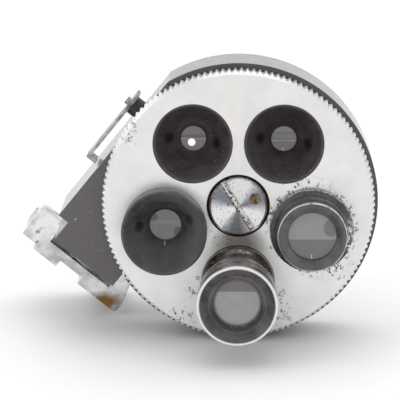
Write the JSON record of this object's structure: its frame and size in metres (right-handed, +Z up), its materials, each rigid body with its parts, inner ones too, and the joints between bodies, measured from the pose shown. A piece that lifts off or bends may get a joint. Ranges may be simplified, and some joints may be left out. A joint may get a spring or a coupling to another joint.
{
  "type": "turret viewfinder",
  "caption": "Turret viewfinder for a rangefinder camera: knurled disc of objectives before a black prism housing, tilting shoe foot.",
  "frame": {"origin": "centre of the footprint of the finder as it lies on its side on a table, at table height", "axes": "+Y along the turret axis from the objectives towards the eyepiece, +Z up from the table, +X to the right seen from the objectives"},
  "size_m": [0.0698, 0.0596, 0.0534],
  "materials": {
    "turned_aluminium": "satin turned face, fine knurl",
    "turned_steel": "turned bright, slotted",
    "steel": "bright",
    "brass": "turned",
    "black_anodised": "satin black",
    "worn_black_barrel": "gloss black worn to bright metal at the rim",
    "gloss_black_enamel": "gloss enamel",
    "matt_black_enamel": "matt crackle-free enamel",
    "worn_nickel": "satin nickel worn to brass at the corners",
    "coated_glass": "polished, thin coating",
    "prism_glass": "polished"
  },
  "bodies": {
    "housing": {"axle_nut": "brass", "back_lid": "gloss_black_enamel", "centre_screw": "turned_steel", "cover_screws": "steel", "detent_ball": "steel", "detent_sleeve": "steel", "detent_spring": "steel", "erecting_lens": "coated_glass", "erecting_lens_cell": "black_anodised", "eye_lens": "coated_glass", "eyepiece_tube": "black_anodised", "front_plate": "matt_black_enamel", "lever_boss": "black_anodised", "lever_screw": "steel", "lid_screws": "steel", "lock_screw": "brass", "lower_prism": "prism_glass", "main_housing": "gloss_black_enamel", "prism_cage": "steel", "prism_clip": "steel", "prism_cover": "gloss_black_enamel", "thrust_washer": "steel", "turret_axle": "steel", "upper_prism": "prism_glass"},
    "turret": {"long_barrel": "worn_black_barrel", "long_front_ring": "worn_black_barrel", "long_lens": "coated_glass", "long_mask": "black_anodised", "medium_barrel": "black_anodised", "medium_front_ring": "black_anodised", "medium_lens": "coated_glass", "medium_mask": "black_anodised", "second_wide_cell": "black_anodised", "second_wide_lens": "coated_glass", "second_wide_mask": "black_anodised", "short_barrel": "black_anodised", "short_lens": "coated_glass", "short_mask": "black_anodised", "turret_bush": "brass", "turret_disc": "turned_aluminium", "wide_cell": "black_anodised", "wide_lens": "coated_glass", "wide_mask": "black_anodised"},
    "cradle": {"cradle": "worn_nickel", "foot_screws": "steel", "pivot_pin": "steel", "shoe_foot": "worn_nickel"},
    "lever": {"parallax_lever": "steel"},
    "eyepiece_dial": {"eyepiece_ring": "black_anodised"}
  },
  "joints": [
    {"name": "turret_spin", "type": "hinge", "parent": "housing", "child": "turret", "pos_m": [0.00819, -0.00825, 0.0267], "axis": [0, 1, 0], "continuous": true},
    {"name": "parallax_lever_swing", "type": "hinge", "parent": "housing", "child": "lever", "pos_m": [-0.01279, 0.00525, 0.04369], "axis": [0.7771, 0, -0.6293], "range_deg": [0, 20]},
    {"name": "cradle_tilt", "type": "hinge", "parent": "housing", "child": "cradle", "pos_m": [-0.02303, 0.01435, 0.01158], "axis": [-0.7771, 0, 0.6293], "range_deg": [0, 4]},
    {"name": "eyepiece_focus", "type": "hinge", "parent": "housing", "child": "eyepiece_dial", "pos_m": [-0.00045, 0.02625, 0.03859], "axis": [0, 1, 0], "range_deg": [-60, 60]}
  ],
  "couplings": [
    {"joint": "cradle_tilt", "follows": "parallax_lever_swing", "ratio": 0.2}
  ]
}
